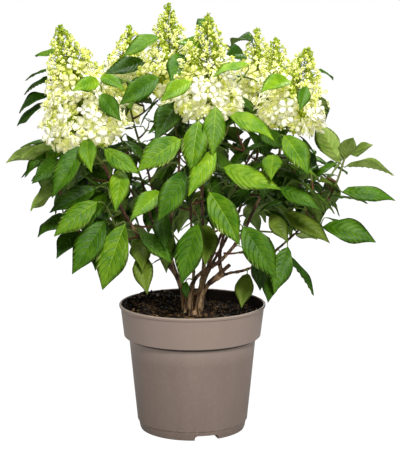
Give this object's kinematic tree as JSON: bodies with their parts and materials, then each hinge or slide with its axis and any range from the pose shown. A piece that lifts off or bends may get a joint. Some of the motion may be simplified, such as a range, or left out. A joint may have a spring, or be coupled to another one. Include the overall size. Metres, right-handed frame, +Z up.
{
  "type": "panicle hydrangea shrub in a nursery pot",
  "caption": "Bushy panicle hydrangea: cone-shaped cream flower heads and serrated green leaves on woody stems, standing in a round taupe nursery pot.",
  "frame": {"origin": "middle of the flat underside of the pot", "axes": "+Z up, +Y to the rear, +X to the right of someone facing the front of the plant"},
  "size_m": [0.606, 0.467, 0.6663],
  "materials": {
    "pot": "satin taupe moulded plastic",
    "soil": "rough moist peat with bark chips",
    "bark": "dull brown bark, peeling in strips",
    "leaves": "soft satin green leaf",
    "blossom": "matt cream petal"
  },
  "bodies": {
    "root": {"pot": "pot", "soil": "soil", "stool": "bark", "stem_left": "bark", "stem_middle_left": "bark", "stem_middle": "bark", "stem_right": "bark", "stem_stub": "bark", "stem_inner_right": "bark", "stem_far_right": "bark", "stem_rear_middle": "bark", "stem_rear_left": "bark", "stem_back_left": "bark", "stem_back": "bark", "stem_back_right": "bark", "bloom_left": "blossom", "bloom_front": "blossom", "bloom_right": "blossom", "bloom_top": "blossom", "bloom_rear_left": "blossom", "bloom_inner_right": "blossom", "bloom_rear_right": "blossom", "bloom_back_left": "blossom", "bloom_back": "blossom", "bloom_back_right": "blossom", "leaves_front": "leaves", "leaves_left_outer": "leaves", "leaves_left_low": "leaves", "leaves_left_top": "leaves", "leaves_right_outer": "leaves", "leaves_right": "leaves", "leaves_low_right": "leaves", "leaves_low_middle": "leaves", "leaves_drop_right": "leaves", "leaves_right_top": "leaves", "leaves_left_inner": "leaves", "leaves_middle": "leaves", "leaves_back_left": "leaves", "leaves_back_right": "leaves", "leaves_back": "leaves"}
  },
  "joints": []
}
